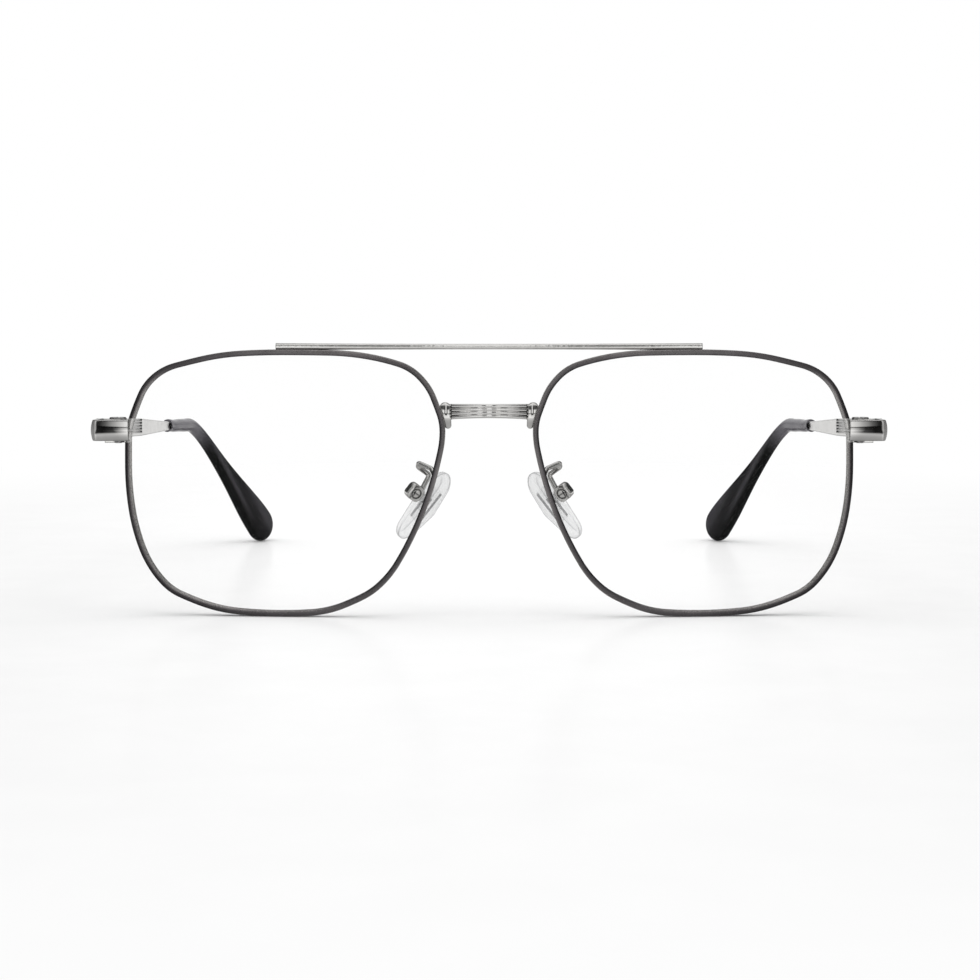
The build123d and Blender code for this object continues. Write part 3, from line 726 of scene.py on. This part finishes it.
# Floor, pale, which keeps the shadow
def make_floor():
    """Large pale floor. Seen directly it is the photograph's white, less its own shadow. Gloss sees it as a
    glow in dark and pale bands by the turn of the reflection, darker near the object, a painted reflection
    of the studio.
    """
    size = floor_reach
    corners = [(-size, -size, 0), (size, -size, 0), (size, size, 0), (-size, size, 0)]
    mesh = bpy.data.meshes.new("floor")
    mesh.from_pydata(corners, [], [(0, 1, 2, 3)])
    floor = bpy.data.objects.new("floor", mesh)
    scene.collection.objects.link(floor)
    material = bpy.data.materials.new("studio_floor")
    tree = Tree(material)
    matte = tree.add("ShaderNodeBsdfDiffuse")
    fine = tree.noise(60, 3)
    tree.link(tree.ramp(fine, [(0.3, 0.93), (0.7, 0.95)]), matte.inputs["Color"])
    polish = tree.add("ShaderNodeBsdfGlossy")
    tree.link(tree.spread(fine, 0.20, 0.24), polish.inputs["Roughness"])
    top = tree.blend(floor_gloss, matte, polish)
    glow = tree.add("ShaderNodeEmission")
    glow.inputs["Color"].default_value = grey(1)
    glow.inputs["Strength"].default_value = 1.0
    path = tree.add("ShaderNodeLightPath")
    here = tree.here()
    far = tree.vector("LENGTH", here).node.outputs["Value"]
    own = tree.ramp(far, [(0.12, 0.0), (0.34, 1.0)])
    both = tree.blend(tree.math("MULTIPLY", tree.direct(path), own), top, glow)
    turn = tree.turn(tree.split(here))
    # Painted reflection: the glow that gloss sees, darker near the object and banded by the turn
    near = tree.ramp(far, [(0.09, 0.42), (0.24, 1.0)])
    side = tree.ramp(turn, [(0.14, 1.0), (0.25, 0.55), (0.34, 0.55), (0.42, 0.85)])
    horizon = tree.ramp(turn, [
        (0.0, 0.80), (0.08, 1.0), (0.12, 0.90), (0.17, 0.45), (0.22, 0.06),
        (0.30, 0.01), (0.40, 0.02), (0.46, 0.60), (0.60, 0.80)], False)
    apart = tree.ramp(far, [(0.20, 0.0), (0.30, 1.0)])
    mirrored = tree.add("ShaderNodeEmission")
    tree.link(tree.mix(apart, tree.times(near, side), horizon), mirrored.inputs["Color"])
    result = tree.blend(path.outputs["Is Glossy Ray"], both, mirrored)
    output = tree.add("ShaderNodeOutputMaterial")
    tree.link(result.outputs[0], output.inputs["Surface"])
    mesh.materials.append(material)


make_floor()


# Studio, a white tent with dark flags that only gloss shows
def make_world():
    """Tent as gloss sees it, by the turn and the height of the reflection. All else sees it plain."""
    world = bpy.data.worlds.new("studio")
    scene.world = world
    tree = Tree(world)
    parts = tree.split(tree.add("ShaderNodeTexCoord").outputs["Generated"])
    turn = tree.turn(parts)
    low = tree.ramp(turn, [
        (0.0, 0.04), (0.03, 0.12), (0.055, 0.92), (0.10, 0.75), (0.14, 0.45), (0.18, 0.16), (0.22, 0.03),
        (0.30, 0.008), (0.40, 0.015), (0.45, 0.42), (0.52, 0.46), (0.56, 0.04), (0.90, 0.03), (0.97, 0.95)],
        False)
    high = tree.ramp(turn, [
        (0.0, 0.90), (0.018, 0.90), (0.025, 0.05), (0.050, 0.05), (0.060, 1.0), (0.10, 0.85), (0.14, 0.70),
        (0.18, 0.54), (0.21, 0.40), (0.25, 0.27), (0.29, 0.12), (0.34, 0.02), (0.42, 0.02), (0.47, 0.60),
        (0.55, 0.60), (0.60, 0.03), (0.90, 0.03), (0.97, 0.20)], False)
    top = tree.ramp(turn, [(0.40, 0.88), (0.60, 0.30), (0.80, 0.22), (0.95, 0.85)])
    rise = tree.ramp(parts["Z"], [(0.12, 0.0), (0.24, 1.0)])
    roof = tree.ramp(parts["Z"], [(0.62, 0.0), (0.86, 1.0)])
    line = tree.ramp(parts["Z"], [(0.10, 1.0), (0.135, 0.12), (0.165, 0.12), (0.20, 1.0)], False)
    beside = tree.ramp(turn, [(0.30, 0.0), (0.40, 1.0)])
    strip = tree.ramp(parts["Z"], [(0.46, 1.0), (0.56, 0.10), (0.76, 0.10), (0.88, 1.0)], False)
    plain = tree.ramp(turn, [(0.0, 0.80), (0.020, 0.80), (0.030, 0.0), (0.36, 0.0), (0.46, 1.0)], False)
    tent = tree.mix(roof, tree.mix(rise, low, high), top)
    tent = tree.times(tent, tree.mix(plain, strip, grey(1.0)))
    tent = tree.times(tent, tree.mix(beside, line, grey(1.0)))
    path = tree.add("ShaderNodeLightPath")
    seen = tree.mix(path.outputs["Is Glossy Ray"], grey(dome_level), tent)
    back = tree.add("ShaderNodeBackground")
    tree.link(tree.mix(tree.direct(path), seen, grey(1.0)), back.inputs["Color"])
    output = tree.add("ShaderNodeOutputWorld")
    tree.link(back.outputs[0], output.inputs["Surface"])


make_world()


def add_lamp():
    """Soft square lamp above, which looks at the middle of the object and which gloss doesn't show."""
    data = bpy.data.lights.new("top_lamp", "AREA")
    data.shape = "RECTANGLE"
    data.size, data.size_y = lamp_size
    data.energy = lamp_power
    lamp = bpy.data.objects.new("top_lamp", data)
    lamp.location = lamp_place
    lamp.rotation_euler = (-Vector(lamp_place)).to_track_quat("-Z", "Y").to_euler()
    lamp.visible_glossy = False
    scene.collection.objects.link(lamp)


add_lamp()


def add_camera():
    """Camera at the photograph's place."""
    data = bpy.data.cameras.new("camera")
    data.sensor_width = sensor_mm
    data.lens = focal_px / image_px * sensor_mm
    data.clip_start = clip_near
    camera = bpy.data.objects.new("camera", data)
    camera.location = (camera_side, cad_box[0][1] - camera_back, camera_height)
    camera.rotation_euler = (radians(90 - camera_pitch), 0, 0)
    scene.collection.objects.link(camera)
    scene.camera = camera


add_camera()
